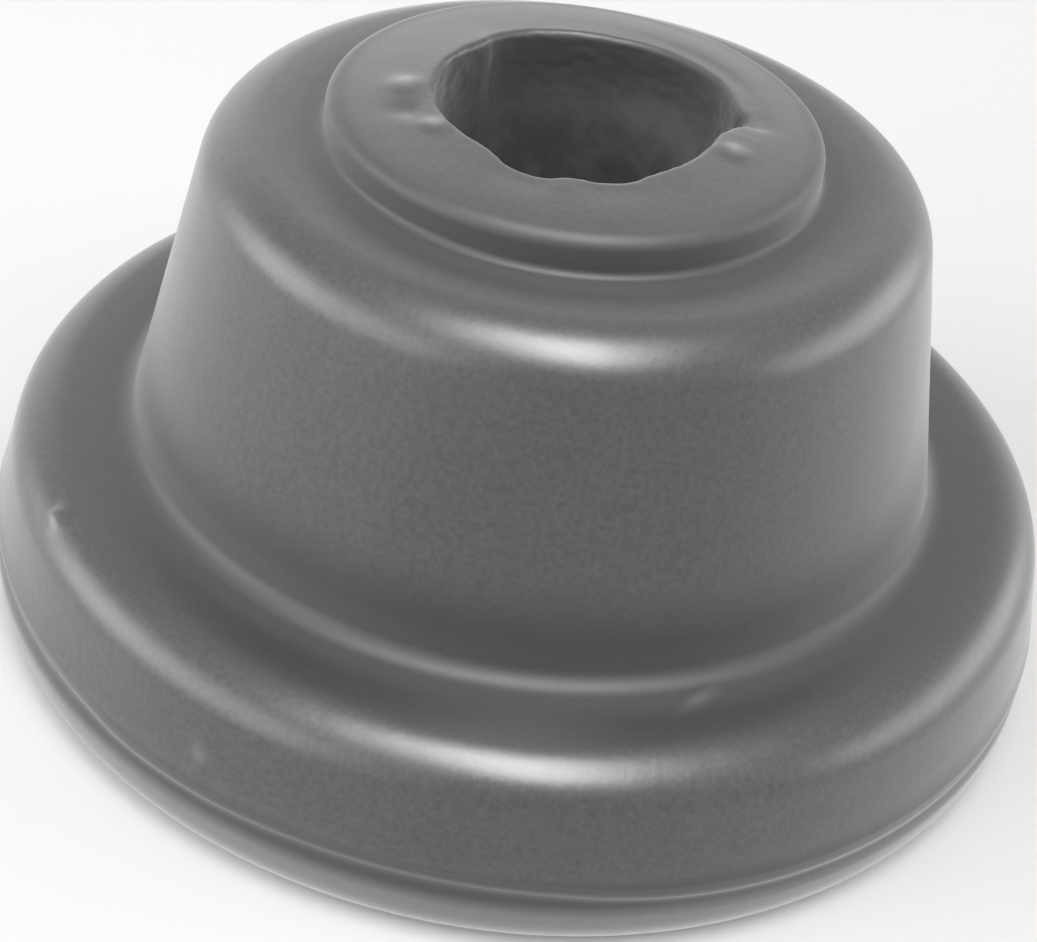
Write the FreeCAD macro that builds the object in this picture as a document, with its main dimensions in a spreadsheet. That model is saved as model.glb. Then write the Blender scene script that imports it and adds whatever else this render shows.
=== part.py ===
import FreeCAD, Part
import math
import os
import Sketcher

# Control arm bushing: one solid rubber moulding, a round flange carrying a tapered
# barrel with a raised boss, and a plain bore straight through it.
# Frame: origin in the middle of the flat underside, +Z up the bore, millimetres.

doc = FreeCAD.newDocument("control_arm_bushing")

# Widths are laid end to end from the bore outwards, and heights from the underside up.
# They are those of the sharp section, before its edges are rounded.
SIZES = [
    ("bore_radius", 7.0, "wall of the through bore"),
    ("boss_wall", 5.3, "rubber between the bore and the outside of the boss"),
    ("upper_face_width", 5.55, "upper face, from the boss out to the shoulder"),
    ("barrel_draft", 3.25, "how much wider the barrel is at its foot than at the shoulder"),
    ("ledge_width", 5.7, "flange face, from the barrel's foot out to the rim"),
    ("rim_draft", 1.2, "how much wider the flange is at the mould seam than at the rim"),
    ("foot_draft", 0.3, "how much narrower the flange is at the underside than at the seam"),
    ("seam_height", 4.1, "mould seam above the underside"),
    ("wall_height", 6.3, "flange face above the mould seam"),
    ("barrel_height", 16.5, "upper face above the flange face"),
    ("boss_rise", 1.95, "outer edge of the boss above the upper face"),
    ("crown_rise", 0.75, "mouth of the bore above the boss's outer edge"),
    ("flash_proud", 0.15, "ridge of trimmed flash along the mould seam"),
    ("flash_half_height", 0.25, "half the height of that ridge"),
    ("rim_rounding", 2.8, "upper edge of the flange"),
    ("shoulder_rounding", 2.9, "upper edge of the barrel"),
    ("foot_bevel", 1.0, "lower edge of the flange"),
    ("barrel_foot_bevel", 0.8, "hollow corner between flange and barrel"),
    ("boss_foot_bevel", 0.4, "hollow corner at the foot of the boss"),
    ("boss_rim_bevel", 0.4, "upper edge of the boss"),
    ("mouth_bevel", 0.5, "lip of the bore on the boss"),
    ("bore_foot_bevel", 0.4, "edge of the bore at the underside"),
    ("tear_depth", 1.6, "how far down the bore the torn lip reaches"),
    ("tear_overrun", 0.2, "how far the tear cutters rise over the crown"),
    ("tear_fade", 0.05, "how far inside the bore wall a tear ends"),
    ("rim_pip_radius", 0.6, "vent pip on the rounded rim of the flange"),
    ("rim_pip_azimuth", -148.0, "where it stands round the flange"),
    ("rim_pip_angle", 54.0, "how far up the rounded rim it stands"),
    ("wall_pip_radius", 0.5, "vent pip on the side wall of the flange"),
    ("wall_pip_azimuth", -117.0, "where it stands round the flange"),
    ("wall_pip_rise", 2.2, "its height above the mould seam"),
    ("pip_sink", 0.25, "how far a pip's centre lies under the rubber"),
    ("nib_gap", 1.35, "flash nib on the flange face, out from the barrel's foot"),
    ("nib_azimuth", -65.0, "where it lies round the flange"),
    ("nib_turn", 52.0, "direction of its long axis, from +X"),
    ("nib_length", 1.1, "its half length"),
    ("nib_width", 0.3, "its half width"),
    ("nib_proud", 0.2, "how far it stands out of the flange face"),
]

# Tears in the lip of the bore: place round the bore, how far the lip is torn back
# behind the bore wall, and how wide the torn scallop is (its radius).
TEARS = [
    ("right", 4.0, 0.95, 1.2),
    ("right_back", 38.0, 0.55, 3.4),
    ("back", 92.0, 0.50, 4.2),
    ("left_back", 150.0, 0.15, 2.2),
    ("left", 182.0, 0.30, 2.8),
    ("front_left", 228.0, 0.40, 3.0),
    ("front", 264.0, 0.60, 1.9),
    ("front_right", 300.0, 0.35, 2.6),
]
for name, azimuth, bite, scallop in TEARS:
    SIZES.append((f"tear_{name}_azimuth", azimuth, f"{name} tear, place round the bore"))
    SIZES.append((f"tear_{name}_bite", bite, f"{name} tear, depth behind the bore wall"))
    SIZES.append((f"tear_{name}_scallop", scallop, f"{name} tear, radius of its scallop"))

sheet = doc.addObject("Spreadsheet::Sheet", "Sizes")
for row, (name, value, note) in enumerate(SIZES, 1):
    sheet.set(f"A{row}", name)
    sheet.set(f"B{row}", str(value))
    sheet.set(f"C{row}", note)
    sheet.setAlias(f"B{row}", name)
doc.recompute()

# Chains of sizes: radii from the axis outwards, heights from the underside up.
# A minus before a name means that the size is taken away.
BORE = ("bore_radius",)
BOSS = BORE + ("boss_wall",)
SHOULDER = BOSS + ("upper_face_width",)
BARREL_FOOT = SHOULDER + ("barrel_draft",)
RIM = BARREL_FOOT + ("ledge_width",)
SEAM = RIM + ("rim_draft",)
FOOT = SEAM + ("-foot_draft",)

UNDERSIDE = ()
SEAM_LEVEL = ("seam_height",)
FLANGE_FACE = SEAM_LEVEL + ("wall_height",)
UPPER_FACE = FLANGE_FACE + ("barrel_height",)
BOSS_EDGE = UPPER_FACE + ("boss_rise",)
CROWN = BOSS_EDGE + ("crown_rise",)


def expression(chain):
    """The chain as an expression on the sheet."""
    terms = [f"- Sizes.{n[1:]}" if n[0] == "-" else f"+ Sizes.{n}" for n in chain]
    return " ".join(terms).lstrip("+ ")


def amount(chain):
    """The chain added up, in millimetres."""
    return sum(-sheet.get(n[1:]) if n[0] == "-" else sheet.get(n) for n in chain)


def half_section(body, name, corners):
    """A closed outline in the XZ plane, each corner held by its chains of sizes."""
    plane = [f for f in body.Origin.OriginFeatures if f.Role == "XZ_Plane"][0]
    sketch = body.newObject("Sketcher::SketchObject", name)
    sketch.AttachmentSupport = [(plane, "")]
    sketch.MapMode = "FlatFace"
    points = [FreeCAD.Vector(amount(out), amount(up), 0) for out, up in corners]
    for here, there in zip(points, points[1:] + points[:1]):
        sketch.addGeometry(Part.LineSegment(here, there), False)
    for i, (out, up) in enumerate(corners):
        sketch.addConstraint(Sketcher.Constraint("Coincident", i, 2, (i + 1) % len(corners), 1))
        across = sketch.addConstraint(Sketcher.Constraint("DistanceX", -1, 1, i, 1, points[i].x))
        sketch.setExpression(f"Constraints[{across}]", expression(out))
        if up:
            rise = sketch.addConstraint(Sketcher.Constraint("DistanceY", -1, 1, i, 1, points[i].y))
            sketch.setExpression(f"Constraints[{rise}]", expression(up))
        else:
            sketch.addConstraint(Sketcher.Constraint("PointOnObject", i, 1, -1))
    return sketch


def ring_edges(feature, radius, height):
    """Names of the circular edges of this radius at this height."""
    found = []
    for number, edge in enumerate(feature.Shape.Edges, 1):
        curve = edge.Curve
        if isinstance(curve, Part.Circle):
            level = abs(curve.Center.z - height) < 0.01
            if level and abs(curve.Radius - radius) < 0.01:
                found.append(f"Edge{number}")
    if not found:
        raise RuntimeError(f"no ring of radius {radius} at height {height}")
    return found


def dress_ring(body, kind, measure, name, out, up, dressing):
    """Round or bevel the ring that this corner of the section draws."""
    base = body.Tip
    edges = ring_edges(base, amount(out), amount(up))
    feature = body.newObject(kind, name)
    feature.Base = (base, edges)
    setattr(feature, measure, sheet.get(dressing))
    feature.setExpression(measure, f"Sizes.{dressing}")
    body.Tip = feature
    doc.recompute()


def round_ring(body, name, out, up):
    """A rounding, of the size that carries the ring's name."""
    dress_ring(body, "PartDesign::Fillet", "Radius", name, out, up, f"{name}_rounding")


def bevel_ring(body, name, out, up):
    """A bevel, of the size that carries the ring's name."""
    dress_ring(body, "PartDesign::Chamfer", "Size", name, out, up, f"{name}_bevel")


def place(feature, distance, azimuth, height):
    """Stand a primitive at a distance and azimuth round the axis, by expressions."""
    feature.setExpression("Placement.Base.x", f"({distance}) * cos({azimuth} * 1 deg)")
    feature.setExpression("Placement.Base.y", f"({distance}) * sin({azimuth} * 1 deg)")
    feature.setExpression("Placement.Base.z", height)


body = doc.addObject("PartDesign::Body", "bushing")
body.Label = "rubber_bushing"

# The moulded form: a half section of sharp corners turned once round the bore. Halfway
# up the flange it carries the low ridge of flash that was left along the mould seam.
section = half_section(body, "section", [
    (BORE, UNDERSIDE),
    (FOOT, UNDERSIDE),
    (SEAM, SEAM_LEVEL + ("-flash_half_height",)),
    (SEAM + ("flash_proud",), SEAM_LEVEL),
    (SEAM, SEAM_LEVEL + ("flash_half_height",)),
    (RIM, FLANGE_FACE),
    (BARREL_FOOT, FLANGE_FACE),
    (SHOULDER, UPPER_FACE),
    (BOSS, UPPER_FACE),
    (BOSS, BOSS_EDGE),
    (BORE, CROWN),
])
doc.recompute()
form = body.newObject("PartDesign::Revolution", "moulded_form")
form.Profile = section
form.ReferenceAxis = (section, ["V_Axis"])
form.Angle = 360.0
section.Visibility = False
doc.recompute()

# Edges of the mould, from the underside up: the two large ones are rounded, and the
# small ones and the hollow corners are bevelled.
bevel_ring(body, "foot", FOOT, UNDERSIDE)
round_ring(body, "rim", RIM, FLANGE_FACE)
bevel_ring(body, "barrel_foot", BARREL_FOOT, FLANGE_FACE)
round_ring(body, "shoulder", SHOULDER, UPPER_FACE)
bevel_ring(body, "boss_foot", BOSS, UPPER_FACE)
bevel_ring(body, "boss_rim", BOSS, BOSS_EDGE)
bevel_ring(body, "mouth", BORE, CROWN)
bevel_ring(body, "bore_foot", BORE, UNDERSIDE)

# Torn lip: tapered scallops behind the bore wall, each fading out down the bore.
for name, azimuth, bite, scallop in TEARS:
    tear = body.newObject("PartDesign::SubtractiveCone", f"tear_{name}")
    tear.setExpression("Radius2", f"Sizes.tear_{name}_scallop")
    tear.setExpression(
        "Radius1", f"Sizes.tear_{name}_scallop - Sizes.tear_{name}_bite - Sizes.tear_fade"
    )
    tear.setExpression("Height", "Sizes.tear_depth + Sizes.tear_overrun")
    place(
        tear,
        f"Sizes.bore_radius + Sizes.tear_{name}_bite - Sizes.tear_{name}_scallop",
        f"Sizes.tear_{name}_azimuth",
        expression(CROWN + ("-tear_depth",)),
    )
    doc.recompute()

# Vent pips: small domes where the mould's vents filled with rubber. The wall between
# the seam and the rim leans in, which moves the centre of the rim's rounding.
WALL_LEAN = "atan(Sizes.rim_draft / (Sizes.wall_height - Sizes.flash_half_height))"
rim_pip = body.newObject("PartDesign::AdditiveSphere", "rim_pip")
rim_pip.setExpression("Radius", "Sizes.rim_pip_radius")
place(
    rim_pip,
    f"{expression(RIM)} - Sizes.rim_rounding * tan(45 deg - {WALL_LEAN} / 2)"
    " + (Sizes.rim_rounding - Sizes.pip_sink) * cos(Sizes.rim_pip_angle * 1 deg)",
    "Sizes.rim_pip_azimuth",
    f"{expression(FLANGE_FACE)} - Sizes.rim_rounding"
    " + (Sizes.rim_rounding - Sizes.pip_sink) * sin(Sizes.rim_pip_angle * 1 deg)",
)
wall_pip = body.newObject("PartDesign::AdditiveSphere", "wall_pip")
wall_pip.setExpression("Radius", "Sizes.wall_pip_radius")
place(
    wall_pip,
    f"{expression(SEAM)} - Sizes.pip_sink"
    f" - (Sizes.wall_pip_rise - Sizes.flash_half_height) * tan({WALL_LEAN})",
    "Sizes.wall_pip_azimuth",
    expression(SEAM_LEVEL + ("wall_pip_rise",)),
)

# Flash nib: a sliver of flash lying on the flange face beside the barrel's foot.
nib = body.newObject("PartDesign::AdditiveEllipsoid", "flash_nib")
nib.setExpression("Radius1", "Sizes.nib_proud")
nib.setExpression("Radius2", "Sizes.nib_length")
nib.setExpression("Radius3", "Sizes.nib_width")
place(nib, expression(BARREL_FOOT + ("nib_gap",)), "Sizes.nib_azimuth", expression(FLANGE_FACE))
nib.setExpression("Placement.Rotation.Angle", "Sizes.nib_turn * 1 deg")
doc.recompute()

# Nothing is written unless every object is sound and the body is one solid.
for thing in doc.Objects:
    if "Invalid" in thing.State or "Error" in thing.State:
        raise RuntimeError(f"{thing.Name}: {thing.State}")
shape = body.Shape
if shape.isNull() or not shape.isValid() or len(shape.Solids) != 1:
    raise RuntimeError("the bushing is not one sound solid")
diameter = 2 * amount(SEAM + ("flash_proud",))
outside = shape.optimalBoundingBox(False)
if abs(outside.XLength - diameter) > 0.05 or outside.ZMin < -0.01:
    raise RuntimeError(f"unexpected outside: {outside}")
full_disc = math.pi * amount(SEAM) ** 2 * amount(CROWN)
if not 0.4 * full_disc < shape.Volume < 0.9 * full_disc:
    raise RuntimeError(f"unexpected volume: {shape.Volume}")

os.makedirs("parts", exist_ok=True)
shape.exportStep(f"parts/{body.Label}.step")
print(f"{body.Label}: {shape.Volume:.0f} mm3, {len(shape.Faces)} faces, box {outside}")
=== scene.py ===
# %% [markdown]
# # A rubber control arm bushing
# This notebook dresses one moulded rubber bushing: a round flange, a tapered barrel on it,
# a raised boss on top and a bore straight through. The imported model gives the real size
# and place. Everything here is added in the same frame, with the bore along Z and the
# flat underside at zero.

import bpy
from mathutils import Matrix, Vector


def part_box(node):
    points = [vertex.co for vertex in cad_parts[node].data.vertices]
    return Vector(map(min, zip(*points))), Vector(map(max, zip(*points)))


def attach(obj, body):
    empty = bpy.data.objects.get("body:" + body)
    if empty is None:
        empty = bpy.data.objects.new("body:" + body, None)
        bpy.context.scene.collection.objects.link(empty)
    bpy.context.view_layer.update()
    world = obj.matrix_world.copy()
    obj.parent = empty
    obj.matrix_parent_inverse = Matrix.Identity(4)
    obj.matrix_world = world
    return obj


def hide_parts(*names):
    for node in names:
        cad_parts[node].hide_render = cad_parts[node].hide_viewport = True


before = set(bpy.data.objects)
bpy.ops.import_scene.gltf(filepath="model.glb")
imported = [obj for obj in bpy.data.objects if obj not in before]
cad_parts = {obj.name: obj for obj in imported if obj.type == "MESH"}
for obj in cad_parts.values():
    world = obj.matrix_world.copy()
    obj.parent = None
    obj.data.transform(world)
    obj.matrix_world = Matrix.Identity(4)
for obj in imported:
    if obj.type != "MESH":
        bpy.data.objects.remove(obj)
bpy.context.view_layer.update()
print("packed nodes:", sorted(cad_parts))

# %% [markdown]
# ## Sizes
# A moulder draws half of the section and turns it round the bore. The sizes below are the
# ones on that drawing, in millimetres, laid end to end: widths from the bore outwards and
# heights from the underside up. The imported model's box tells us whether they still agree.

# %% The section's sizes
import math

import bmesh
import bpy

NODE = "rubber_bushing"
MM = 0.001

SECTION_SIZES = {
    "Bore radius": 7.0,
    "Boss wall": 5.3,
    "Upper face width": 5.55,
    "Barrel draft": 3.25,
    "Ledge width": 5.7,
    "Rim draft": 1.2,
    "Foot draft": 0.15,
    "Seam height": 4.1,
    "Wall height": 6.3,
    "Barrel height": 16.5,
    "Boss rise": 1.95,
    "Crown rise": 0.6,
    "Flash proud": 0.004,
    "Flash half height": 0.5,
    "Groove depth": 0.2,
    "Groove height": 1.3,
}
box_low, box_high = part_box(NODE)
WIDTHS = (
    "Bore radius", "Boss wall", "Upper face width", "Barrel draft", "Ledge width", "Rim draft",
)
HEIGHTS = ("Seam height", "Wall height", "Barrel height", "Boss rise", "Crown rise")
seam_radius = sum(SECTION_SIZES[name] for name in WIDTHS)
crown_height = sum(SECTION_SIZES[name] for name in HEIGHTS)
print(f"flange {2 * seam_radius:.1f} mm across, packed box {(box_high - box_low).x / MM:.1f} mm")
print(f"crown at {crown_height:.2f} mm, packed box {box_high.z / MM:.2f} mm")

# %% [markdown]
# ## Small helpers for node trees
# Both the shape and the finish are node trees built from Python. A link and a plain number
# go into a socket in different ways, so one helper hides that. The others add one maths
# node each and give back its output, which lets a formula read almost like algebra.

# %% Node helpers
def plug(tree, value, socket):
    """Link a socket into another, or set it to a plain value."""
    if isinstance(value, bpy.types.NodeSocket):
        tree.links.new(value, socket)
    else:
        socket.default_value = value


def calc(tree, operation, *values):
    """One Math node."""
    node = tree.nodes.new("ShaderNodeMath")
    node.operation = operation
    for value, socket in zip(values, node.inputs):
        plug(tree, value, socket)
    return node.outputs[0]


def total(tree, first, *others):
    """Values added up, one Math node for each plus sign."""
    for other in others:
        first = calc(tree, "ADD", first, other)
    return first


def product(tree, first, *others):
    """Values multiplied together, one Math node for each times sign."""
    for other in others:
        first = calc(tree, "MULTIPLY", first, other)
    return first


def line_length(tree, *sides):
    """The length of a straight line, from how far it goes along each axis."""
    return calc(tree, "SQRT", total(tree, *[product(tree, side, side) for side in sides]))


def bell(tree, distance, width):
    """A soft bump: one where the distance is zero, fading out over the width."""
    share = calc(tree, "DIVIDE", distance, width)
    return calc(tree, "EXPONENT", product(tree, share, share, -1.0))


def ramp(tree, value, start, end):
    """Zero before start, one after end and smooth between them; start may be the larger."""
    node = tree.nodes.new("ShaderNodeMapRange")
    node.interpolation_type = "SMOOTHSTEP"
    low, high = sorted((start, end))
    plug(tree, value, node.inputs["Value"])
    node.inputs["From Min"].default_value = low
    node.inputs["From Max"].default_value = high
    node.inputs["To Min"].default_value = 0.0 if start < end else 1.0
    node.inputs["To Max"].default_value = 1.0 if start < end else 0.0
    return node.outputs["Result"]


def xyz(tree, x, y, z):
    """Three numbers as one vector."""
    node = tree.nodes.new("ShaderNodeCombineXYZ")
    for value, socket in zip((x, y, z), node.inputs):
        plug(tree, value, socket)
    return node.outputs[0]


def apart(tree, here, there):
    """How far apart two places are."""
    node = tree.nodes.new("ShaderNodeVectorMath")
    node.operation = "DISTANCE"
    tree.links.new(here, node.inputs[0])
    tree.links.new(there, node.inputs[1])
    return node.outputs["Value"]


def split(tree, vector):
    """The three numbers of a vector."""
    node = tree.nodes.new("ShaderNodeSeparateXYZ")
    plug(tree, vector, node.inputs[0])
    return node.outputs[0], node.outputs[1], node.outputs[2]


def noise(tree, vector, scale, detail=2.0, roughness=0.5):
    """Noise from minus one half to one half."""
    node = tree.nodes.new("ShaderNodeTexNoise")
    plug(tree, vector, node.inputs["Vector"])
    node.inputs["Scale"].default_value = scale
    node.inputs["Detail"].default_value = detail
    node.inputs["Roughness"].default_value = roughness
    return calc(tree, "SUBTRACT", node.outputs[0], 0.5)


def blend(tree, share, first, second):
    """One colour turning into another; a Mix node's inputs 6 and 7 are its two colours."""
    node = tree.nodes.new("ShaderNodeMix")
    node.data_type = "RGBA"
    plug(tree, share, node.inputs["Factor"])
    plug(tree, first, node.inputs[6])
    plug(tree, second, node.inputs[7])
    return node.outputs[2]


# %% [markdown]
# ## The moulded section
# The rubber takes its form from a steel mould that was turned on a lathe, so the shape
# follows one rule: a section turned round an axis. It could be modelled by hand or with
# the Screw modifier. Geometry Nodes are used because every size stays a named input, and
# because the same tree can then tear the lip of the bore and bend the mould seam.
#
# The section is a closed line of twelve corners. An Index Switch hands each point of a
# plain mesh line its corner, and Fillet Curve rounds them all at once, each by its own
# radius, as the mould's edges are rounded. Four of the corners draw the mould seam: a
# shallow groove, and over it the low edge that is left of the trimmed flash.

# %% The section as a curve
# Corner names, rounding in millimetres and how many points draw the rounding.
CORNERS = [
    ("bore foot", 0.4, 3),
    ("foot", 2.4, 12),
    ("under groove", 1.2, 5),
    ("groove", 1.0, 6),
    ("flash", 1.0, 5),
    ("over flash", 0.5, 3),
    ("rim", 2.8, 16),
    ("barrel foot", 1.05, 9),
    ("shoulder", 2.9, 14),
    ("boss foot", 0.4, 6),
    ("boss rim", 0.8, 9),
    ("mouth", 0.35, 7),
]


def index_switch(tree, kind, index, values):
    """An Index Switch that hands out one of several values."""
    node = tree.nodes.new("GeometryNodeIndexSwitch")
    node.data_type = kind
    while len(node.index_switch_items) < len(values):
        node.index_switch_items.new()
    plug(tree, index, node.inputs["Index"])
    for value, socket in zip(values, node.inputs[1:]):
        plug(tree, value, socket)
    return node.outputs[0]


def draw_section(tree, sizes):
    """The half section as a closed curve in the XZ plane; sizes gives each input's socket."""
    boss = total(tree, sizes["Bore radius"], sizes["Boss wall"])
    shoulder = total(tree, boss, sizes["Upper face width"])
    barrel = total(tree, shoulder, sizes["Barrel draft"])
    rim = total(tree, barrel, sizes["Ledge width"])
    seam = total(tree, rim, sizes["Rim draft"])
    foot = calc(tree, "SUBTRACT", seam, sizes["Foot draft"])
    flash = total(tree, seam, sizes["Flash proud"])
    level = sizes["Seam height"]
    groove = calc(tree, "SUBTRACT", seam, sizes["Groove depth"])
    under = calc(tree, "SUBTRACT", level, sizes["Groove height"])
    below = calc(tree, "SUBTRACT", level, sizes["Flash half height"])
    above = total(tree, level, sizes["Flash half height"])
    face = total(tree, level, sizes["Wall height"])
    upper = total(tree, face, sizes["Barrel height"])
    edge = total(tree, upper, sizes["Boss rise"])
    crown = total(tree, edge, sizes["Crown rise"])
    places = [
        (sizes["Bore radius"], 0.0), (foot, 0.0), (seam, under), (groove, below),
        (flash, level), (seam, above), (rim, face), (barrel, face),
        (shoulder, upper), (boss, upper), (boss, edge), (sizes["Bore radius"], crown),
    ]
    corners = [xyz(tree, across, 0.0, up) for across, up in places]

    line = tree.nodes.new("GeometryNodeMeshLine")
    line.inputs["Count"].default_value = len(CORNERS)
    index = tree.nodes.new("GeometryNodeInputIndex").outputs[0]
    put = tree.nodes.new("GeometryNodeSetPosition")
    tree.links.new(line.outputs[0], put.inputs["Geometry"])
    tree.links.new(index_switch(tree, "VECTOR", index, corners), put.inputs["Position"])
    curve = tree.nodes.new("GeometryNodeMeshToCurve")
    tree.links.new(put.outputs[0], curve.inputs["Mesh"])
    closed = tree.nodes.new("GeometryNodeSetSplineCyclic")
    tree.links.new(curve.outputs[0], closed.inputs[0])
    closed.inputs["Cyclic"].default_value = True

    fillet = tree.nodes.new("GeometryNodeFilletCurve")
    fillet.mode = "POLY"
    tree.links.new(closed.outputs[0], fillet.inputs["Curve"])
    roundings = index_switch(tree, "FLOAT", index, [radius * MM for _, radius, _ in CORNERS])
    counts = index_switch(tree, "INT", index, [count for _, _, count in CORNERS])
    tree.links.new(roundings, fillet.inputs["Radius"])
    tree.links.new(counts, fillet.inputs["Count"])
    return fillet.outputs[0], crown


# %% [markdown]
# ## Points where the detail is
# A lathe needs few points along the straight barrel, but many where the lip is torn. The
# curve is cut again, and the length of each new piece depends on where it lies: about a
# millimetre on the plain faces, and much less round the mouth of the bore.

# %% Finer steps near the mouth
PLAIN_STEP = 1.15 * MM
MOUTH_STEP = 0.16 * MM
MOUTH_REACH = 2.6 * MM


def cut_curve(tree, curve, step):
    """Cut every piece of the curve into lengths of about one step."""
    index = tree.nodes.new("GeometryNodeInputIndex").outputs[0]
    here = tree.nodes.new("GeometryNodeInputPosition").outputs[0]
    size = tree.nodes.new("GeometryNodeAttributeDomainSize")
    size.component = "CURVE"
    tree.links.new(curve, size.inputs[0])
    after = calc(tree, "MODULO", total(tree, index, 1.0), size.outputs["Point Count"])
    there = tree.nodes.new("GeometryNodeFieldAtIndex")
    there.data_type = "FLOAT_VECTOR"
    there.domain = "POINT"
    tree.links.new(after, there.inputs["Index"])
    tree.links.new(here, there.inputs["Value"])
    cuts = tree.nodes.new("GeometryNodeSubdivideCurve")
    tree.links.new(curve, cuts.inputs["Curve"])
    pieces = calc(tree, "DIVIDE", apart(tree, here, there.outputs[0]), step)
    tree.links.new(pieces, cuts.inputs["Cuts"])
    return cuts.outputs[0]


def refine_section(tree, curve, bore, crown):
    """Cut the curve at an even step, then finely within reach of the mouth."""
    even = cut_curve(tree, curve, PLAIN_STEP)
    here = tree.nodes.new("GeometryNodeInputPosition").outputs[0]
    away = apart(tree, here, xyz(tree, bore, 0.0, crown))
    near = ramp(tree, away, 1.5 * MOUTH_REACH, MOUTH_REACH)
    step = total(tree, PLAIN_STEP, product(tree, near, MOUTH_STEP - PLAIN_STEP))
    return cut_curve(tree, even, step)


# %% [markdown]
# ## The torn lip and the trimmed seam
# Rubber is pushed out of its mould by force, and the lip of the bore tears a little. The
# lip is no true circle any more: it is bitten back most at the right and the back, with
# two lobes at the front. The flash along the mould seam was trimmed by hand, so the seam
# and its groove wander up and down. Noise alone would put the bites anywhere. A Float
# Curve is a drawn line, here a value against the angle round the bore, and a little noise
# on top of it roughens the torn edge.

# %% Lines drawn round the bore
# Angle round the bore in degrees, and how far the lip is torn back there in millimetres.
LIP_BITES = [
    (0, 0.9), (6, 1.15), (14, 0.95), (40, 1.2), (66, 0.95), (91, 0.6), (116, 0.5), (130, 0.3),
    (140, 0.02), (167, 0.0), (195, 0.1), (225, 0.05), (243, 0.3), (260, 0.8), (272, 0.5),
    (284, 0.65), (300, 0.3), (321, 0.05), (345, 0.0), (353, 0.25), (360, 0.9),
]
# Angle round the flange in degrees, and how far the seam rises there in millimetres.
SEAM_WANDER = [
    (0, -0.3), (60, 0.1), (120, 0.25), (180, 0.3), (223, 0.4), (236, 0.05), (250, 0.15),
    (263, 0.25), (285, -0.1), (311, -0.35), (360, -0.3),
]


def drawn_round(tree, turn, line):
    """A value drawn against the turn, which runs from zero to one."""
    values = [value for _, value in line]
    lowest, spread = min(values), max(values) - min(values)
    node = tree.nodes.new("ShaderNodeFloatCurve")
    curve = node.mapping.curves[0]
    while len(curve.points) < len(line):
        curve.points.new(0.5, 0.5)
    for point, (angle, value) in zip(curve.points, line):
        point.location = (angle / 360, (value - lowest) / spread)
    node.mapping.update()
    tree.links.new(turn, node.inputs["Value"])
    return total(tree, product(tree, node.outputs[0], spread * MM), lowest * MM)


# %% [markdown]
# ## Vent pips and the flash nib
# Air leaves the mould through small vents, and rubber follows it: each vent leaves a pip.
# Two show, one on the rounded rim at the left and one on the side wall. A sliver of flash
# lies beside the barrel's foot. They could be small balls set into the surface, but a ball
# meets the skin in a hard ring, and moulded pips swell out of it softly. So each one is a
# bell-shaped lift of the skin itself, round for a pip and stretched for the sliver.

# %% Where the marks stand
RIM_ROUNDING = dict((name, radius) for name, radius, _ in CORNERS)["rim"]
FACE = SECTION_SIZES["Seam height"] + SECTION_SIZES["Wall height"]


def spot(azimuth, across, height):
    """A place in metres from an angle round the bore and millimetres out and up."""
    angle = math.radians(azimuth)
    return (across * MM * math.cos(angle), across * MM * math.sin(angle), height * MM)


def on_rim(azimuth, angle):
    """A place on the rounded rim, this far round its arc."""
    lean = math.atan2(SECTION_SIZES["Rim draft"], SECTION_SIZES["Wall height"])
    inset = RIM_ROUNDING * math.tan(math.pi / 4 - lean / 2)
    centre = seam_radius - SECTION_SIZES["Rim draft"] - inset
    return spot(
        azimuth,
        centre + RIM_ROUNDING * math.cos(math.radians(angle)),
        FACE - RIM_ROUNDING + RIM_ROUNDING * math.sin(math.radians(angle)),
    )


# Place, half width, half length, which way it lies in degrees, lift, and how much of the
# lift goes outwards and upwards.
MARKS = [
    (on_rim(-148, 54), 0.50, 0.50, 0, 0.30, 0.59, 0.81),
    (spot(-117, 27.65, SECTION_SIZES["Seam height"] + 2.2), 0.45, 0.45, 0, 0.24, 1.0, 0.0),
    (spot(-65, 22.45, FACE), 0.32, 1.10, 52, 0.16, 0.0, 1.0),
]


def mark_shape(tree, where, mark):
    """One on the middle of a mark, fading out round it."""
    place, wide, long, turn, _, _, _ = mark
    offset = tree.nodes.new("ShaderNodeVectorMath")
    offset.operation = "SUBTRACT"
    tree.links.new(where, offset.inputs[0])
    offset.inputs[1].default_value = place
    x, y, z = split(tree, offset.outputs[0])
    ahead, aside = math.cos(math.radians(turn)), math.sin(math.radians(turn))
    along = total(tree, product(tree, x, ahead / long), product(tree, y, aside / long))
    cross = total(tree, product(tree, x, -aside / wide), product(tree, y, ahead / wide))
    rise = product(tree, z, 1 / wide)
    return bell(tree, line_length(tree, along, cross, rise), MM)


# %% [markdown]
# ## Turning the section
# The lathe is a flat grid that is rolled up. Each column of the grid is one station round
# the bore, and each row is one point of the section, which Sample Index looks up. Radius
# and height can be changed on the way, which is where the lip tears and the seam wanders.
# The last row and column repeat the first, and merging them closes the solid.

# %% Lumps on the lip
# Name, angle in degrees, distance from the axis, width and height in millimetres.
LUMPS = [
    ("left lump", 186, 8.45, 0.80, 0.22),
    ("left fold", 215, 8.0, 0.60, 0.16),
    ("left dent", 202, 8.7, 0.80, -0.16),
    ("right lump", 339, 8.2, 0.65, 0.19),
    ("front bump", 269, 8.0, 0.60, 0.03),
]
# How far down the bore and out over the boss the tear is felt: fully, and at all.
TEAR_DEEP, TEAR_DEPTH = 1.6 * MM, 6.0 * MM
TEAR_WIDE, TEAR_SPREAD = 0.3 * MM, 3.4 * MM
# The torn edge sinks by this share of its bite.
TEAR_SINK = 0.25
TORN_GRAIN = 0.22 * MM
TORN_GRAIN_SCALE, TORN_GRAIN_STRETCH = 7.0, 300.0


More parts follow.
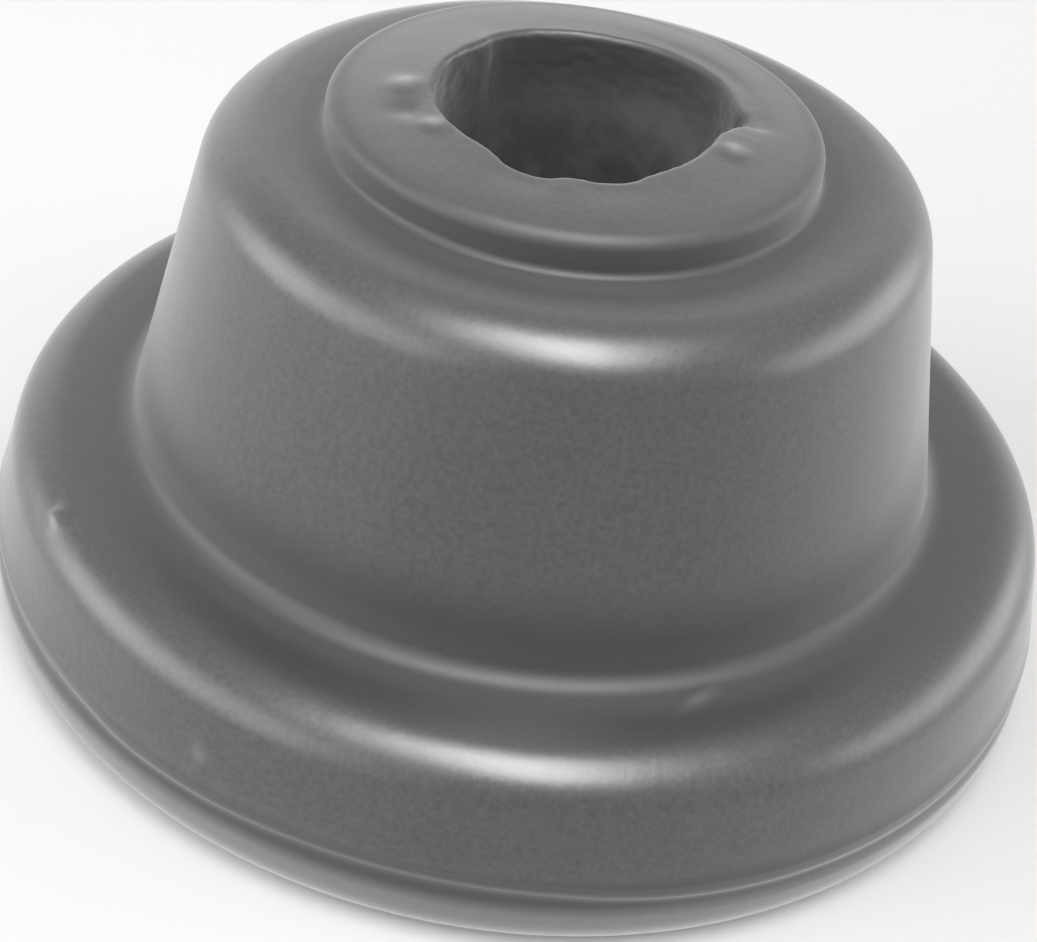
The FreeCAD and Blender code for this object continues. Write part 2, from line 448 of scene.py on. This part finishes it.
def torn_lip(tree, turn, across, height, bore, crown, around):
    """How far a point of the lip moves outwards and upwards; around is (cosine, sine)."""
    bite = drawn_round(tree, turn, LIP_BITES)
    circle = xyz(tree, around[0], around[1], product(tree, height, TORN_GRAIN_STRETCH))
    rough = product(tree, noise(tree, circle, TORN_GRAIN_SCALE, detail=4.0), TORN_GRAIN)
    down = ramp(tree, calc(tree, "SUBTRACT", crown, height), TEAR_DEPTH, TEAR_DEEP)
    out = ramp(tree, calc(tree, "SUBTRACT", across, bore), TEAR_SPREAD, TEAR_WIDE)
    share = product(tree, down, out)
    outwards = product(tree, total(tree, bite, rough), share)
    rise = product(tree, bite, share, -TEAR_SINK)
    for _, angle, distance, width, tall in LUMPS:
        side = calc(tree, "SUBTRACT", product(tree, across, around[0]),
                    distance * MM * math.cos(math.radians(angle)))
        ahead = calc(tree, "SUBTRACT", product(tree, across, around[1]),
                     distance * MM * math.sin(math.radians(angle)))
        gap = line_length(tree, side, ahead)
        lump = product(tree, bell(tree, gap, width * MM), tall * MM)
        rise = total(tree, rise, product(tree, lump, down))
    return outwards, rise


# %% The lathe
STATIONS = 480
# The seam wanders within this height of its level, on the flange's wall alone.
SEAM_REACH = 1.2 * MM
WALL_FROM, WALL_FULL = 24.0 * MM, 26.5 * MM
# The skin is a little wavy, but the underside stays flat up to these heights.
WAVINESS, WAVE_SCALE, WAVE_MIDDLE = 0.05 * MM, 130.0, 0.3
FLAT_UNDER, WAVY_OVER = 0.3 * MM, 1.5 * MM
# A faint ring pressed into the barrel at the left.
RING_HEIGHT, RING_WIDTH, RING_DEPTH = 19.1 * MM, 0.45 * MM, 0.05 * MM
RING_MIDDLE, RING_REACH = math.radians(215), math.radians(17)
MERGE_DISTANCE = 0.001 * MM


def turn_section(tree, curve, bore, crown, level):
    """Roll a grid round the axis, with its rows on the section."""
    size = tree.nodes.new("GeometryNodeAttributeDomainSize")
    size.component = "CURVE"
    tree.links.new(curve, size.inputs[0])
    rows = size.outputs["Point Count"]
    grid_rows = total(tree, rows, 1.0)
    grid = tree.nodes.new("GeometryNodeMeshGrid")
    grid.inputs["Vertices X"].default_value = STATIONS + 1
    tree.links.new(grid_rows, grid.inputs["Vertices Y"])

    index = tree.nodes.new("GeometryNodeInputIndex").outputs[0]
    column = calc(tree, "FLOOR", calc(tree, "DIVIDE", total(tree, index, 0.5), grid_rows))
    row = calc(tree, "SUBTRACT", index, product(tree, column, grid_rows))
    turn = calc(tree, "DIVIDE", calc(tree, "MODULO", column, STATIONS), STATIONS)
    look = tree.nodes.new("GeometryNodeSampleIndex")
    look.data_type = "FLOAT_VECTOR"
    look.domain = "POINT"
    tree.links.new(curve, look.inputs["Geometry"])
    position = tree.nodes.new("GeometryNodeInputPosition").outputs[0]
    tree.links.new(position, look.inputs["Value"])
    tree.links.new(calc(tree, "MODULO", row, rows), look.inputs["Index"])
    across, _, height = split(tree, look.outputs[0])

    angle = product(tree, turn, math.tau)
    around = (calc(tree, "COSINE", angle), calc(tree, "SINE", angle))
    outwards, rise = torn_lip(tree, turn, across, height, bore, crown, around)

    wander = drawn_round(tree, turn, SEAM_WANDER)
    on_wall = ramp(tree, across, WALL_FROM, WALL_FULL)
    near_seam = bell(tree, calc(tree, "SUBTRACT", height, level), SEAM_REACH)
    rise = total(tree, rise, product(tree, wander, near_seam, on_wall))

    where = xyz(tree, product(tree, across, around[0]), product(tree, across, around[1]), height)
    lifted = ramp(tree, height, FLAT_UNDER, WAVY_OVER)
    swell = calc(tree, "SUBTRACT", noise(tree, where, WAVE_SCALE), WAVE_MIDDLE)
    wave = product(tree, swell, WAVINESS)
    outwards = total(tree, outwards, product(tree, wave, lifted))
    for mark in MARKS:
        lift, share_out, share_up = mark[4:]
        shape = mark_shape(tree, where, mark)
        outwards = total(tree, outwards, product(tree, shape, lift * share_out * MM))
        rise = total(tree, rise, product(tree, shape, lift * share_up * MM))

    faint = product(tree, bell(tree, calc(tree, "SUBTRACT", height, RING_HEIGHT), RING_WIDTH),
                 bell(tree, calc(tree, "SUBTRACT", angle, RING_MIDDLE), RING_REACH))
    outwards = total(tree, outwards, product(tree, faint, -RING_DEPTH))

    radius = total(tree, across, outwards)
    put = tree.nodes.new("GeometryNodeSetPosition")
    tree.links.new(grid.outputs["Mesh"], put.inputs["Geometry"])
    place = xyz(tree, product(tree, radius, around[0]), product(tree, radius, around[1]),
                total(tree, height, rise))
    tree.links.new(place, put.inputs["Position"])
    merge = tree.nodes.new("GeometryNodeMergeByDistance")
    tree.links.new(put.outputs[0], merge.inputs["Geometry"])
    merge.inputs["Distance"].default_value = MERGE_DISTANCE
    return merge.outputs[0]


# %% [markdown]
# ## Dust, painted shade and painted light
# A moulding is never the same all over. Dust gathers in its hollow corners and dulls them.
# The boss foot, the barrel foot and the seam groove are darkened with painted shade, the
# foot's lower edge is lightened with a painted reflection of the white table, the lumps of
# the torn lip carry painted highlights, and the marks are paler. All of it could be painted
# by hand on a texture. Here each place is a soft mask worked out from the radius and the
# height, so it follows the section's sizes and needs no picture.

# %% Masks on the skin
BOSS_RADIUS = SECTION_SIZES["Bore radius"] + SECTION_SIZES["Boss wall"]
BARREL_RADIUS = BOSS_RADIUS + SECTION_SIZES["Upper face width"] + SECTION_SIZES["Barrel draft"]
UPPER_FACE = FACE + SECTION_SIZES["Barrel height"]
SEAM_LEVEL = SECTION_SIZES["Seam height"]
# Each corner's radius and height, and how far out of it the mask reaches, in millimetres.
DUSTY_CORNERS = [
    (BOSS_RADIUS, UPPER_FACE, 1.8),
    (BOSS_RADIUS, crown_height - 0.6, 1.4),
    (BARREL_RADIUS, FACE, 2.6),
    (seam_radius, SEAM_LEVEL - 0.1, 1.8),
]
# Painted shade: these corners and the seam groove are darkened in the colour, where shade falls.
SHADED_CORNERS = [
    (BOSS_RADIUS, UPPER_FACE, 3.2),
    (BARREL_RADIUS, FACE, 5.5),
    (seam_radius, SEAM_LEVEL - 0.2, 1.3),
]
# Where the foot's painted reflection and the lip's painted highlights begin and are full.
FOOT_REFLECTION_FROM, FOOT_REFLECTION_FULL = 3.5 * MM, 2.6 * MM
FOOT_REFLECTION_INNER, FOOT_REFLECTION_OUTER = 24.0 * MM, 25.8 * MM
LIP_HIGHLIGHT_FROM, LIP_HIGHLIGHT_FULL = 26.0 * MM, 28.0 * MM
FOOT_REFLECTION_SHARE, LIP_HIGHLIGHT_SHARE, TALL_LUMP = 1.3, 2.6, 0.1


def hollows(tree, across, z, corners):
    """One in the corners that run round the part, and nothing beyond their reach."""
    masks = []
    for radius, height, reach in corners:
        aside = calc(tree, "SUBTRACT", across, radius * MM)
        above = calc(tree, "SUBTRACT", z, height * MM)
        away = line_length(tree, aside, above)
        masks.append(ramp(tree, away, reach * MM, 0.4 * reach * MM))
    return total(tree, *masks)


# Painted highlight on a lump of the torn lip.
def lump_highlight(tree, x, y, lump):
    """One on top of a lump of the torn lip, fading out round it."""
    _, azimuth, radius, width, _ = lump
    turned = math.radians(azimuth)
    aside = calc(tree, "SUBTRACT", x, radius * math.cos(turned) * MM)
    ahead = calc(tree, "SUBTRACT", y, radius * math.sin(turned) * MM)
    return bell(tree, line_length(tree, aside, ahead), 0.6 * width * MM)


def pale_marks_and_painted_light(tree, where, across):
    """Paler marks, a painted reflection on the foot and painted highlights on the lip."""
    x, y, z = split(tree, where)
    # Painted reflection: the foot's lower edge is lightened, as the white table would show in it.
    foot_reflection = product(tree, ramp(tree, z, FOOT_REFLECTION_FROM, FOOT_REFLECTION_FULL),
                      ramp(tree, across, FOOT_REFLECTION_INNER, FOOT_REFLECTION_OUTER))
    # Painted highlights on top of the lip's taller lumps.
    highlight_spots = [lump_highlight(tree, x, y, lump) for lump in LUMPS if lump[4] > TALL_LUMP]
    lip_highlights = product(tree, total(tree, *highlight_spots), ramp(tree, z, LIP_HIGHLIGHT_FROM, LIP_HIGHLIGHT_FULL))
    return total(tree, product(tree, foot_reflection, FOOT_REFLECTION_SHARE), product(tree, lip_highlights, LIP_HIGHLIGHT_SHARE),
                 *[mark_shape(tree, where, mark) for mark in MARKS])


# %% [markdown]
# ## The rubber
# Moulded rubber is very dark, with a satin skin: light glances off it softly and more at
# a grazing angle, which the Principled shader's own Fresnel gives. A little sheen stands
# for the dust all over it. Up close the skin is mottled: the mould's ground steel leaves a
# fine grain, and the release agent leaves paler and duller patches. Both are noise, read
# from Object coordinates, so that it keeps its real size in millimetres. The masks then
# dull the hollow corners and darken them with painted shade, lighten the foot with a
# painted reflection and the lip's lumps with painted highlights, and pale the marks. The
# bore is rougher, with blotches deep down and painted shade under its lip.

# %% Colours of the rubber
RUBBER_DARK = (0.024, 0.024, 0.025, 1.0)
RUBBER_LIGHT = (0.058, 0.058, 0.059, 1.0)
# Painted shade for the hollow corners and the seam groove.
CORNER_SHADE = (0.010, 0.010, 0.010, 1.0)
# A paler grey for the marks, and for the painted reflection on the foot and the painted highlights
# on the lip.
PALE_AND_PAINTED_LIGHT_GREY = (0.20, 0.20, 0.20, 1.0)
BORE_DARK = (0.032, 0.032, 0.032, 1.0)
BORE_LIGHT = (0.080, 0.080, 0.081, 1.0)
LIP_SHADOW = (0.008, 0.008, 0.008, 1.0)
CORNER_SHADE_SHARE, PALE_AND_PAINTED_LIGHT_SHARE = 0.8, 0.35
# How far under the crown the bore's colour and its shadow begin and are full.
BORE_FROM, BORE_FULL = crown_height - 0.1, crown_height - 0.6
SHADOW_FROM, SHADOW_FULL = crown_height - 7.0, crown_height - 1.0
BORE_EDGE, BORE_WALL = 8.9 * MM, 8.3 * MM


def bore_colour(tree, where, z):
    """Blotched grey down in the bore, nearly black under its lip."""
    patches = ramp(tree, noise(tree, where, 420.0, detail=5.0, roughness=0.65), -0.12, 0.16)
    blotched = blend(tree, patches, BORE_DARK, BORE_LIGHT)
    under_lip = ramp(tree, z, SHADOW_FROM * MM, SHADOW_FULL * MM)
    return blend(tree, under_lip, blotched, LIP_SHADOW)


# %% Black rubber
# Roughness, and how much the patches, the grain, the bore and the dust change it.
ROUGH, BLOOM_ROUGH, GRAIN_ROUGH, BORE_ROUGH, DUST_ROUGH = 0.36, 0.08, 0.04, 0.45, 0.22
GRAIN_HEIGHT, RIPPLE_HEIGHT = 0.006 * MM, 0.020 * MM


def make_rubber():
    """Satin moulded rubber with grain, bloom and slightly uneven gloss, dull in the bore."""
    material = bpy.data.materials.new("black_rubber")
    material.use_nodes = True
    tree = material.node_tree
    skin = tree.nodes["Principled BSDF"]
    where = tree.nodes.new("ShaderNodeTexCoord").outputs["Object"]
    x, y, z = split(tree, where)
    across = line_length(tree, x, y)

    bloom = noise(tree, where, 160.0, detail=4.0)
    speckle = noise(tree, where, 3400.0, detail=3.0, roughness=0.7)
    shade = total(tree, 0.5, product(tree, bloom, 0.3), product(tree, speckle, 2.0))
    # Painted shade darkens the hollow corners and the seam groove.
    corner_shade_mask = product(tree, hollows(tree, across, z, SHADED_CORNERS), CORNER_SHADE_SHARE)
    # Paler at the marks, with a painted reflection on the foot and painted highlights on the lip.
    pale_and_painted_light = product(tree, pale_marks_and_painted_light(tree, where, across), PALE_AND_PAINTED_LIGHT_SHARE)
    inside = product(tree, ramp(tree, across, BORE_EDGE, BORE_WALL),
                     ramp(tree, z, BORE_FROM * MM, BORE_FULL * MM))
    colour = blend(tree, shade, RUBBER_DARK, RUBBER_LIGHT)
    colour = blend(tree, corner_shade_mask, colour, CORNER_SHADE)
    colour = blend(tree, pale_and_painted_light, colour, PALE_AND_PAINTED_LIGHT_GREY)
    colour = blend(tree, inside, colour, bore_colour(tree, where, z))
    tree.links.new(colour, skin.inputs["Base Color"])

    dusty = hollows(tree, across, z, DUSTY_CORNERS)
    rough = total(tree, ROUGH, product(tree, bloom, BLOOM_ROUGH),
                  product(tree, speckle, GRAIN_ROUGH),
                  product(tree, inside, BORE_ROUGH), product(tree, dusty, DUST_ROUGH))
    tree.links.new(rough, skin.inputs["Roughness"])
    skin.inputs["IOR"].default_value = 1.6
    skin.inputs["Sheen Weight"].default_value = 0.5
    skin.inputs["Sheen Roughness"].default_value = 0.45

    grain = noise(tree, where, 4200.0, detail=2.0, roughness=0.6)
    ripple = noise(tree, where, 520.0, detail=2.0)
    relief = total(tree, product(tree, grain, GRAIN_HEIGHT), product(tree, ripple, RIPPLE_HEIGHT))
    bump = tree.nodes.new("ShaderNodeBump")
    bump.inputs["Strength"].default_value = 1.0
    bump.inputs["Distance"].default_value = 1.0
    tree.links.new(relief, bump.inputs["Height"])
    tree.links.new(bump.outputs[0], skin.inputs["Normal"])
    return material


rubber = make_rubber()
print("material:", rubber.name)

# %% [markdown]
# ## Putting the tree together
# The group's named inputs are the sizes. They are set by each socket's identifier before
# the object is first evaluated. The tree ends by making instances real, so that nothing
# added to it later is lost in the export, and by giving every face the rubber. The result
# is kept as a plain mesh, because the export takes no live modifiers either.

# %% The bushing's node group
def build_group():
    """The whole bushing as one node group with a named input for each size."""
    tree = bpy.data.node_groups.new("moulded bushing", "GeometryNodeTree")
    for name, value in SECTION_SIZES.items():
        socket = tree.interface.new_socket(name, in_out="INPUT", socket_type="NodeSocketFloat")
        socket.default_value = value * MM
    tree.interface.new_socket("Bushing", in_out="OUTPUT", socket_type="NodeSocketGeometry")
    given = tree.nodes.new("NodeGroupInput")
    sizes = {name: given.outputs[name] for name in SECTION_SIZES}

    section, crown = draw_section(tree, sizes)
    bore, level = sizes["Bore radius"], sizes["Seam height"]
    fine = refine_section(tree, section, bore, crown)
    form = turn_section(tree, fine, bore, crown, level)

    real = tree.nodes.new("GeometryNodeRealizeInstances")
    tree.links.new(form, real.inputs[0])
    smooth = tree.nodes.new("GeometryNodeSetShadeSmooth")
    tree.links.new(real.outputs[0], smooth.inputs["Geometry"])
    skin = tree.nodes.new("GeometryNodeSetMaterial")
    skin.inputs["Material"].default_value = rubber
    tree.links.new(smooth.outputs[0], skin.inputs["Geometry"])
    end = tree.nodes.new("NodeGroupOutput")
    tree.links.new(skin.outputs[0], end.inputs["Bushing"])
    return tree


# %% The bushing as a plain mesh
def bake_group(tree, name):
    """Evaluate the group once and keep the result as a plain mesh at the origin."""
    holder = bpy.data.objects.new(f"{name}_tree", bpy.data.meshes.new(f"{name}_tree"))
    bpy.context.scene.collection.objects.link(holder)
    modifier = holder.modifiers.new("moulding", "NODES")
    modifier.node_group = tree
    for socket in tree.interface.items_tree:
        if socket.in_out == "INPUT":
            modifier[socket.identifier] = SECTION_SIZES[socket.name] * MM
    settled = holder.evaluated_get(bpy.context.evaluated_depsgraph_get())
    mesh = bpy.data.meshes.new_from_object(settled)
    bpy.data.objects.remove(holder)
    mesh.name = name
    piece = bpy.data.objects.new(name, mesh)
    bpy.context.scene.collection.objects.link(piece)
    return piece


def face_outwards(piece):
    """Turn every face outwards, now that the seams are merged."""
    work = bmesh.new()
    work.from_mesh(piece.data)
    bmesh.ops.recalc_face_normals(work, faces=work.faces)
    open_edges = sum(1 for edge in work.edges if not edge.is_manifold)
    work.to_mesh(piece.data)
    work.free()
    return open_edges


bushing = bake_group(build_group(), "moulded_bushing")
open_edges = face_outwards(bushing)
triangles = sum(len(face.vertices) - 2 for face in bushing.data.polygons)
print(f"bushing: {triangles} triangles, {open_edges} open edges")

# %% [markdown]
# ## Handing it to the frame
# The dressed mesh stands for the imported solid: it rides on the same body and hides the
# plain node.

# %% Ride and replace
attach(bushing, "root")
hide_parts(NODE)

# %% [markdown]
# ## Floor and backdrop
# The part stands on a plain white table in a bright, even room. Near the part the table is
# matt paint, which keeps the object's soft shadow. Further off, and in every reflection, it
# turns plain white. Light Path tells the shader which kind of ray is looking, so the white
# background needs no stronger lamps.

# %% White table
FLOOR_HALF = 3.0
WHITE_FROM, WHITE_FULL = 0.08, 0.25


def make_floor():
    """A large white table with its top at the object's underside."""
    mesh = bpy.data.meshes.new("table")
    half = FLOOR_HALF
    corners = [(-half, -half, 0.0), (half, -half, 0.0), (half, half, 0.0), (-half, half, 0.0)]
    mesh.from_pydata(corners, [], [(0, 1, 2, 3)])
    table = bpy.data.objects.new("table", mesh)
    bpy.context.scene.collection.objects.link(table)
    material = bpy.data.materials.new("white_table")
    material.use_nodes = True
    tree = material.node_tree
    paint = tree.nodes["Principled BSDF"]
    paint.inputs["Base Color"].default_value = (0.86, 0.86, 0.86, 1.0)
    paint.inputs["Roughness"].default_value = 0.9
    white = tree.nodes.new("ShaderNodeEmission")
    where = tree.nodes.new("ShaderNodeTexCoord").outputs["Object"]
    x, y, _ = split(tree, where)
    away = line_length(tree, x, y)
    path = tree.nodes.new("ShaderNodeLightPath")
    far = product(tree, path.outputs["Is Camera Ray"], ramp(tree, away, WHITE_FROM, WHITE_FULL))
    plain = calc(tree, "MAXIMUM", far, path.outputs["Is Glossy Ray"])
    plain = calc(tree, "MAXIMUM", plain, path.outputs["Is Transmission Ray"])
    mix = tree.nodes.new("ShaderNodeMixShader")
    tree.links.new(plain, mix.inputs[0])
    tree.links.new(paint.outputs[0], mix.inputs[1])
    tree.links.new(white.outputs[0], mix.inputs[2])
    tree.links.new(mix.outputs[0], tree.nodes["Material Output"].inputs["Surface"])
    mesh.materials.append(material)
    return table


make_floor()

# %% [markdown]
# ## Light
# A product picture like this is lit by large softboxes. Here a top one hangs over the
# part and a little to the front, low ones at both sides brighten the flanks, and a weak
# one at the back left opens the shadow there. The world fills in the rest: white where the
# camera or a reflection sees it, and dimmer as light, so the rubber isn't washed out.
#
# The two strips of light on the shoulder and the rim are reflections of lamps. They could
# be made with stronger softboxes, but those would lift the whole part above its own
# colour. So two narrow lamps, the gleams, are seen in reflections only.

# %% World and lamps
FILL_LEVEL = 0.32
LAMP_DISTANCE = 0.6


def make_world():
    """White to the camera and to reflections, and a dimmer fill for everything else."""
    world = bpy.data.worlds.new("bright room")
    bpy.context.scene.world = world
    world.use_nodes = True
    tree = world.node_tree
    sky = tree.nodes["Background"]
    sky.inputs["Color"].default_value = (1.0, 1.0, 1.0, 1.0)
    path = tree.nodes.new("ShaderNodeLightPath")
    seen = calc(tree, "MAXIMUM", path.outputs["Is Camera Ray"], path.outputs["Is Glossy Ray"])
    seen = calc(tree, "MAXIMUM", seen, path.outputs["Is Transmission Ray"])
    extra = product(tree, seen, 1.0 - FILL_LEVEL)
    tree.links.new(total(tree, extra, FILL_LEVEL), sky.inputs["Strength"])


def hang_lamp(name, azimuth, elevation, width, depth, power, gleam=False):
    """An area lamp on a sphere round the part, pointing at it; a gleam is only reflected."""
    data = bpy.data.lights.new(name, "AREA")
    data.shape = "RECTANGLE"
    data.size, data.size_y = width, depth
    data.energy = power
    lamp = bpy.data.objects.new(name, data)
    bpy.context.scene.collection.objects.link(lamp)
    azimuth, elevation = math.radians(azimuth), math.radians(elevation)
    lamp.location = (
        LAMP_DISTANCE * math.cos(elevation) * math.cos(azimuth),
        LAMP_DISTANCE * math.cos(elevation) * math.sin(azimuth),
        LAMP_DISTANCE * math.sin(elevation),
    )
    lamp.rotation_euler = lamp.location.to_track_quat("Z", "Y").to_euler()
    lamp.visible_diffuse = not gleam
    return lamp


make_world()
hang_lamp("top softbox", 285, 66, 0.30, 0.40, 1.8)
hang_lamp("left softbox", 208, 12, 0.80, 0.50, 4.4)
hang_lamp("side softbox", 180, 8, 0.50, 0.40, 1.4)
hang_lamp("back left softbox", 120, 20, 0.40, 0.30, 0.2)
hang_lamp("right softbox", 10, 8, 0.70, 0.40, 3.2)
hang_lamp("key gleam", 285, 64, 0.15, 0.46, 4.2, gleam=True)
hang_lamp("second gleam", 242, 62, 0.09, 0.30, 0.9, gleam=True)

# %% [markdown]
# ## Camera
# The camera stood close, so the far side looks smaller. Its place was worked out from how
# the flange, the barrel and the mouth appear against each other. It looks down from the
# front, is tipped a little to one side, and a small lens shift stands for the way the
# picture was cropped.

# %% The camera
from mathutils import Matrix, Vector

FRAME_WIDTH, FRAME_HEIGHT = 1037, 942
FOCAL_PIXELS = 2288.3
CENTRE_X, CENTRE_Y = 430.0, 340.0
CAMERA_BACK, CAMERA_UP = 99.843 * MM, 80.634 * MM
AIM_X, AIM_Z = -5.831 * MM, 14.171 * MM
CAMERA_ROLL = 0.118
SENSOR = 36.0


def place_camera():
    """A camera at the photograph's viewing angle."""
    data = bpy.data.cameras.new("camera")
    camera = bpy.data.objects.new("camera", data)
    bpy.context.scene.collection.objects.link(camera)
    eye = Vector((0.0, -CAMERA_BACK, CAMERA_UP))
    ahead = (Vector((AIM_X, 0.0, AIM_Z)) - eye).normalized()
    level = ahead.cross(Vector((0.0, 0.0, 1.0))).normalized()
    upright = level.cross(ahead)
    right = level * math.cos(CAMERA_ROLL) + upright * math.sin(CAMERA_ROLL)
    up = upright * math.cos(CAMERA_ROLL) - level * math.sin(CAMERA_ROLL)
    turned = Matrix((right, up, -ahead)).transposed().to_4x4()
    camera.matrix_world = Matrix.Translation(eye) @ turned
    data.sensor_fit = "HORIZONTAL"
    data.sensor_width = SENSOR
    data.lens = FOCAL_PIXELS / FRAME_WIDTH * SENSOR
    data.shift_x = (FRAME_WIDTH / 2 - CENTRE_X) / FRAME_WIDTH
    data.shift_y = (CENTRE_Y - FRAME_HEIGHT / 2) / FRAME_WIDTH
    data.clip_start = 0.005
    bpy.context.scene.camera = camera
    return data


camera_data = place_camera()
print(f"lens {camera_data.lens:.1f} mm, shift {camera_data.shift_x:.3f} {camera_data.shift_y:.3f}")

# %% [markdown]
# ## View
# Colours are shown as they are, with no film look.

# %% View
bpy.context.scene.view_settings.view_transform = "Standard"
